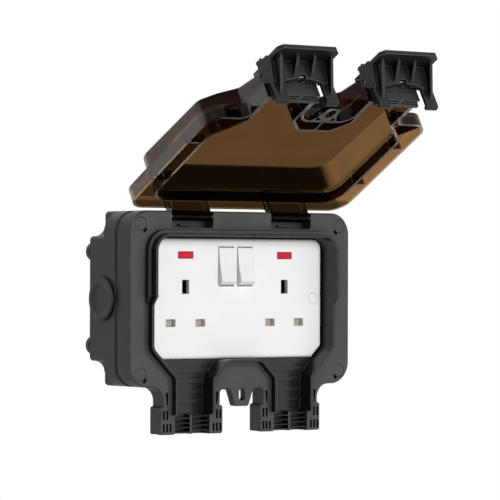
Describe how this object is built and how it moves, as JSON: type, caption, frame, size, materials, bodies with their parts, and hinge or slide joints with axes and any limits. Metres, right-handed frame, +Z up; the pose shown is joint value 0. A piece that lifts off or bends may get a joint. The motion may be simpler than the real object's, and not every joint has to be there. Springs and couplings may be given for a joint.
{
  "type": "outdoor weatherproof socket",
  "caption": "Wall-mounted weatherproof double switched socket with a smoked hinged lid on snap latches and cable funnels at its foot.",
  "frame": {"origin": "centre of the wall-fixing holes, on the wall plane behind the pads", "axes": "+X to the right seen from the front, +Y into the wall, +Z up"},
  "size_m": [0.1714, 0.1685, 0.2306],
  "materials": {
    "enclosure": "satin",
    "cover": "satin",
    "black": "gloss",
    "latch": "satin",
    "rubber": "matte",
    "smoked": "gloss",
    "white": "satin",
    "inner": "matte",
    "neon": "gloss",
    "cream": "satin",
    "brass": "satin",
    "steel": "satin"
  },
  "bodies": {
    "enclosure": {"back_box": "enclosure", "side_plug_left": "enclosure", "side_plug_right": "enclosure", "box_gasket": "rubber", "front_frame": "enclosure", "inner_bezel": "black", "lid_seal": "rubber", "panel_seal": "rubber", "cable_seal_left": "rubber", "cable_seal_right": "rubber", "frame_screws": "steel", "screw_covers": "cover", "hinge_pin_left": "steel", "hinge_pin_right": "steel", "socket_plate": "white", "socket_body": "inner", "rocker_pivot": "steel", "neon_left": "neon", "neon_right": "neon", "earth_bar": "brass", "neutral_bar": "brass", "live_contact_left": "brass", "live_contact_right": "brass", "live_feed": "brass", "terminal_screws": "steel", "module_screws": "steel", "module_caps": "white"},
    "lid": {"lid": "smoked", "lid_flap_left": "rubber", "lid_flap_right": "rubber", "latch_pin_left": "steel", "latch_pin_right": "steel"},
    "latch_left": {"latch_left": "latch"},
    "latch_right": {"latch_right": "latch"},
    "rocker_left": {"rocker_left": "white"},
    "rocker_right": {"rocker_right": "white"},
    "shutter_left": {"shutter_left": "cream"},
    "shutter_right": {"shutter_right": "cream"}
  },
  "joints": [
    {"name": "lid_hinge", "type": "hinge", "parent": "enclosure", "child": "lid", "pos_m": [0, -0.0467, 0.0503], "axis": [-1, 0, 0], "range_deg": [-120, 8]},
    {"name": "latch_pivot_left", "type": "hinge", "parent": "lid", "child": "latch_left", "pos_m": [-0.0375, -0.15004, 0.12971], "axis": [-1, 0, 0], "range_deg": [-4, 70]},
    {"name": "latch_pivot_right", "type": "hinge", "parent": "lid", "child": "latch_right", "pos_m": [0.0375, -0.15004, 0.12971], "axis": [-1, 0, 0], "range_deg": [-4, 70]},
    {"name": "rocker_pivot_left", "type": "hinge", "parent": "enclosure", "child": "rocker_left", "pos_m": [-0.00715, -0.038, 0.0199], "axis": [1, 0, 0], "range_deg": [0, 21]},
    {"name": "rocker_pivot_right", "type": "hinge", "parent": "enclosure", "child": "rocker_right", "pos_m": [0.00715, -0.038, 0.0199], "axis": [1, 0, 0], "range_deg": [0, 21]},
    {"name": "shutter_slide_left", "type": "slide", "parent": "enclosure", "child": "shutter_left", "axis": [0, 0, -1], "range_m": [0, 0.0064], "stiffness_N_per_m": 60, "springref_m": -0.005},
    {"name": "shutter_slide_right", "type": "slide", "parent": "enclosure", "child": "shutter_right", "axis": [0, 0, -1], "range_m": [0, 0.0064], "stiffness_N_per_m": 60, "springref_m": -0.005}
  ]
}
